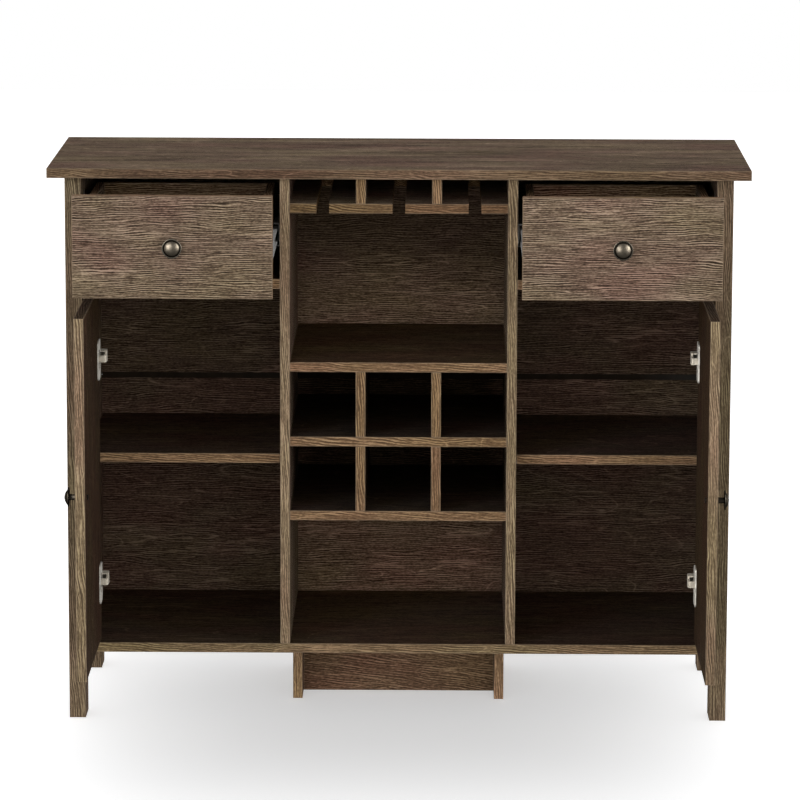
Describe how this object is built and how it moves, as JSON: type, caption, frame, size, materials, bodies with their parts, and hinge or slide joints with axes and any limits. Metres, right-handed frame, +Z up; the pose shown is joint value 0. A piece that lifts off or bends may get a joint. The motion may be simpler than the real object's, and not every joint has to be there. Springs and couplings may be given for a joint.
{
  "type": "buffet cabinet",
  "caption": "Buffet cabinet in weathered oak with inset doors, drawers on ball-bearing slides, a slotted stemware rack, bottle cells and open shelves, on panel legs.",
  "frame": {"origin": "on the floor, under the middle of the whole cabinet with its doors and drawers as stored", "axes": "+X to the right seen from the front, +Y from the front to the back, +Z up"},
  "size_m": [1.06, 0.654, 0.855],
  "materials": {
    "weathered_oak": "matte grained",
    "thin_board": "matte grained",
    "dowel_beech": "raw",
    "strip_plastic": "matte",
    "knob_bronze": "satin",
    "hinge_nickel": "satin",
    "slide_zinc": "satin",
    "fastener_zinc": "satin"
  },
  "bodies": {
    "carcass": {"top_panel": "weathered_oak", "left_side_panel": "weathered_oak", "right_side_panel": "weathered_oak", "left_divider": "weathered_oak", "right_divider": "weathered_oak", "bottom_panel": "weathered_oak", "left_fixed_shelf": "weathered_oak", "right_fixed_shelf": "weathered_oak", "left_adjustable_shelf": "weathered_oak", "right_adjustable_shelf": "weathered_oak", "shelf_pins": "fastener_zinc", "rack_bottom_shelf": "weathered_oak", "rack_middle_shelf": "weathered_oak", "rack_top_shelf": "weathered_oak", "left_lower_rack_upright": "weathered_oak", "right_lower_rack_upright": "weathered_oak", "left_upper_rack_upright": "weathered_oak", "right_upper_rack_upright": "weathered_oak", "stemware_board": "weathered_oak", "left_stemware_upright": "weathered_oak", "right_stemware_upright": "weathered_oak", "left_centre_foot": "weathered_oak", "right_centre_foot": "weathered_oak", "kick_board": "weathered_oak", "lower_back_panel": "thin_board", "upper_back_panel": "thin_board", "back_joint_strip": "strip_plastic", "back_nails": "fastener_zinc", "wood_dowels": "dowel_beech", "cam_fittings": "fastener_zinc", "hinge_arms_and_plates": "hinge_nickel", "carcass_screws": "fastener_zinc", "hinge_pins": "hinge_nickel", "outer_slides": "slide_zinc"},
    "left_door": {"left_door_panel": "weathered_oak", "left_door_hinge_cups": "hinge_nickel", "left_door_knob": "knob_bronze", "left_door_screws": "fastener_zinc"},
    "left_drawer": {"left_drawer_front": "weathered_oak", "left_drawer_outer_side": "weathered_oak", "left_drawer_inner_side": "weathered_oak", "left_drawer_back": "weathered_oak", "left_drawer_bottom": "thin_board", "left_drawer_knob": "knob_bronze", "left_drawer_inner_slides": "slide_zinc", "left_drawer_fixings": "fastener_zinc"},
    "left_ball_cages": {"left_drawer_ball_cages": "slide_zinc"},
    "right_door": {"right_door_panel": "weathered_oak", "right_door_hinge_cups": "hinge_nickel", "right_door_knob": "knob_bronze", "right_door_screws": "fastener_zinc"},
    "right_drawer": {"right_drawer_front": "weathered_oak", "right_drawer_outer_side": "weathered_oak", "right_drawer_inner_side": "weathered_oak", "right_drawer_back": "weathered_oak", "right_drawer_bottom": "thin_board", "right_drawer_knob": "knob_bronze", "right_drawer_inner_slides": "slide_zinc", "right_drawer_fixings": "fastener_zinc"},
    "right_ball_cages": {"right_drawer_ball_cages": "slide_zinc"}
  },
  "joints": [
    {"name": "left_door_hinge", "type": "hinge", "parent": "carcass", "child": "left_door", "pos_m": [-0.464, -0.046, 0.39425], "axis": [0, 0, -1], "range_deg": [-90, 5]},
    {"name": "left_drawer_slide", "type": "slide", "parent": "carcass", "child": "left_drawer", "axis": [0, -1, 0], "range_m": [-0.212, 0.038]},
    {"name": "left_ball_cage_roll", "type": "slide", "parent": "carcass", "child": "left_ball_cages", "axis": [0, -1, 0], "range_m": [-0.106, 0.019]},
    {"name": "right_door_hinge", "type": "hinge", "parent": "carcass", "child": "right_door", "pos_m": [0.464, -0.046, 0.39425], "axis": [0, 0, 1], "range_deg": [-90, 5]},
    {"name": "right_drawer_slide", "type": "slide", "parent": "carcass", "child": "right_drawer", "axis": [0, -1, 0], "range_m": [-0.212, 0.038]},
    {"name": "right_ball_cage_roll", "type": "slide", "parent": "carcass", "child": "right_ball_cages", "axis": [0, -1, 0], "range_m": [-0.106, 0.019]}
  ],
  "couplings": [
    {"joint": "left_ball_cage_roll", "follows": "left_drawer_slide", "ratio": 0.5},
    {"joint": "right_ball_cage_roll", "follows": "right_drawer_slide", "ratio": 0.5}
  ]
}
